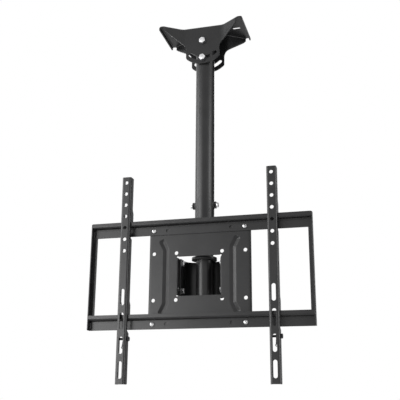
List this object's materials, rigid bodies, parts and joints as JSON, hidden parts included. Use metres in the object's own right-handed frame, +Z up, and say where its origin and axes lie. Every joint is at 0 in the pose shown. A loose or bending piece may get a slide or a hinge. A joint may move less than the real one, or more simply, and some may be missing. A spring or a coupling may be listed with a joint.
{
  "type": "tv ceiling mount",
  "caption": "Ceiling mount for a flat television: pressed ceiling bracket, telescopic pole, swivel and tilt head, and a wide frame with sliding hook-on arms.",
  "frame": {"origin": "on the ceiling plane, at the pole's axis, midway between the two anchor slots", "axes": "+Z up, +X along the wide frame to the right as the viewer sees the television side, +Y away from the television"},
  "size_m": [0.484, 0.117, 0.819],
  "materials": {
    "black_paint": "fine satin powder coat, black",
    "zinc_plate": "bright zinc plate",
    "black_oxide": "black oxide steel",
    "nylon": "black nylon"
  },
  "bodies": {
    "bracket": {"ceiling_bracket": "black_paint", "pivot_bolt": "zinc_plate", "pivot_nut": "zinc_plate", "pivot_washers": "black_oxide"},
    "pole": {"outer_pole": "black_paint", "pole_weld_nuts": "black_paint", "pole_grip_screws": "zinc_plate", "pitch_lock_bolt": "zinc_plate", "pitch_lock_nut": "zinc_plate", "pitch_lock_washers": "black_oxide"},
    "drop": {"inner_pole": "black_paint", "swivel_spindle": "black_oxide", "swivel_washer": "zinc_plate", "swivel_nut": "zinc_plate"},
    "head": {"yoke": "black_paint", "swivel_sleeve": "black_paint", "upper_glide_washer": "nylon", "lower_glide_washer": "nylon", "tilt_pivot_bolts": "zinc_plate", "tilt_pivot_nuts": "zinc_plate", "tilt_pivot_washers": "zinc_plate", "tilt_lock_bolts": "zinc_plate", "tilt_lock_nuts": "zinc_plate", "tilt_lock_washers": "zinc_plate", "tilt_glide_washers": "nylon"},
    "frame": {"vesa_plate": "black_paint", "top_rail": "black_paint", "bottom_rail": "black_paint", "left_end_plate": "black_paint", "right_end_plate": "black_paint", "rail_screws": "zinc_plate", "rail_nuts": "zinc_plate"},
    "left_arm": {"left_arm": "black_paint", "left_safety_screw": "black_oxide"},
    "right_arm": {"right_arm": "black_paint", "right_safety_screw": "black_oxide"},
    "left_latch": {"left_latch": "black_oxide"},
    "right_latch": {"right_latch": "black_oxide"}
  },
  "joints": [
    {"name": "pole_pitch", "type": "hinge", "parent": "bracket", "child": "pole", "pos_m": [0, 0, -0.0385], "axis": [0, 1, 0], "range_deg": [-42, 42]},
    {"name": "pole_extension", "type": "slide", "parent": "pole", "child": "drop", "axis": [0, 0, -1], "range_m": [0, 0.25]},
    {"name": "head_swivel", "type": "hinge", "parent": "drop", "child": "head", "pos_m": [0, 0, -0.597], "axis": [0, 0, 1], "continuous": true},
    {"name": "head_tilt", "type": "hinge", "parent": "head", "child": "frame", "pos_m": [0, -0.018, -0.566], "axis": [1, 0, 0], "range_deg": [-5, 15]},
    {"name": "left_arm_slide", "type": "slide", "parent": "frame", "child": "left_arm", "axis": [1, 0, 0], "range_m": [-0.06, 0.111]},
    {"name": "right_arm_slide", "type": "slide", "parent": "frame", "child": "right_arm", "axis": [1, 0, 0], "range_m": [-0.111, 0.06]},
    {"name": "left_latch_lift", "type": "hinge", "parent": "left_arm", "child": "left_latch", "pos_m": [-0.161, -0.057, -0.727], "axis": [1, 0, 0], "range_deg": [0, 25]},
    {"name": "right_latch_lift", "type": "hinge", "parent": "right_arm", "child": "right_latch", "pos_m": [0.161, -0.057, -0.727], "axis": [1, 0, 0], "range_deg": [0, 25]}
  ]
}
